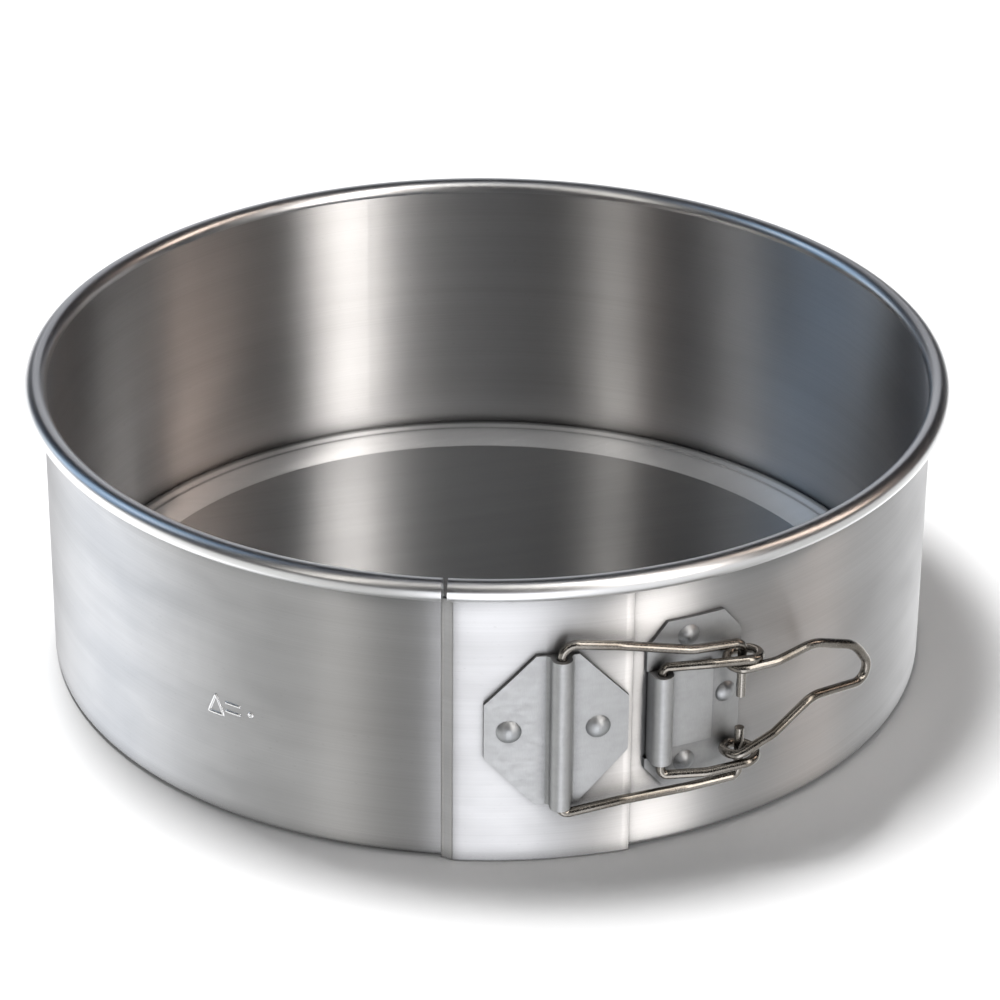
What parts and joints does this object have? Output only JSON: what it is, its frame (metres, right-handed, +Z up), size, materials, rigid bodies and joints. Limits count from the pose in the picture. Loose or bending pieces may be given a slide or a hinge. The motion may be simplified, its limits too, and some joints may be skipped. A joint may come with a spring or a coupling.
{
  "type": "springform pan",
  "caption": "Round sheet-metal springform baking pan with a loose base, a rolled rim and a side wire latch whose lever draws the overlapping ends of the band together.",
  "frame": {"origin": "on the pan's axis, in the plane that the pan stands on, at the middle of the base's underside", "axes": "+Z up along the pan's axis; -Y points from the axis to the free edge of the overlap, beside the latch; +X is to the right when the latch is looked at from outside"},
  "size_m": [0.2132, 0.2166, 0.07],
  "materials": {
    "band": "bright rolled sheet",
    "base": "bright rolled sheet",
    "bracket": "satin plated sheet",
    "rivet": "polished dome",
    "wire": "drawn wire"
  },
  "bodies": {
    "right_half": {"band_right": "band", "lever_bracket": "bracket", "bracket_rivet_top": "rivet", "bracket_rivet_right": "rivet", "bracket_rivet_bottom": "rivet"},
    "left_half": {"band_left": "band", "keeper_bracket": "bracket", "keeper_rivet_left": "rivet", "keeper_rivet_right": "rivet"},
    "base": {"base_disc": "base"},
    "bail": {"bail_wire": "wire"},
    "lever": {"lever_wire": "wire"}
  },
  "joints": [
    {"name": "lever_swing", "type": "hinge", "parent": "right_half", "child": "lever", "pos_m": [0.00607, -0.10533, 0], "axis": [0, 0, -1], "range_deg": [0, 60]},
    {"name": "ring_flex", "type": "hinge", "parent": "right_half", "child": "left_half", "pos_m": [0, 0.1066, 0], "axis": [0, 0, -1], "range_deg": [0, 1.2]},
    {"name": "bail_swing", "type": "hinge", "parent": "left_half", "child": "bail", "pos_m": [-0.01639, -0.10467, 0], "axis": [0, 0, -1], "range_deg": [0, 24]},
    {"name": "base_lift", "type": "slide", "parent": "right_half", "child": "base", "axis": [0, 0, 1], "range_m": [0, 0.09]}
  ],
  "couplings": [
    {"joint": "ring_flex", "follows": "lever_swing", "ratio": 0.01875},
    {"joint": "bail_swing", "follows": "lever_swing", "ratio": 0.39}
  ]
}
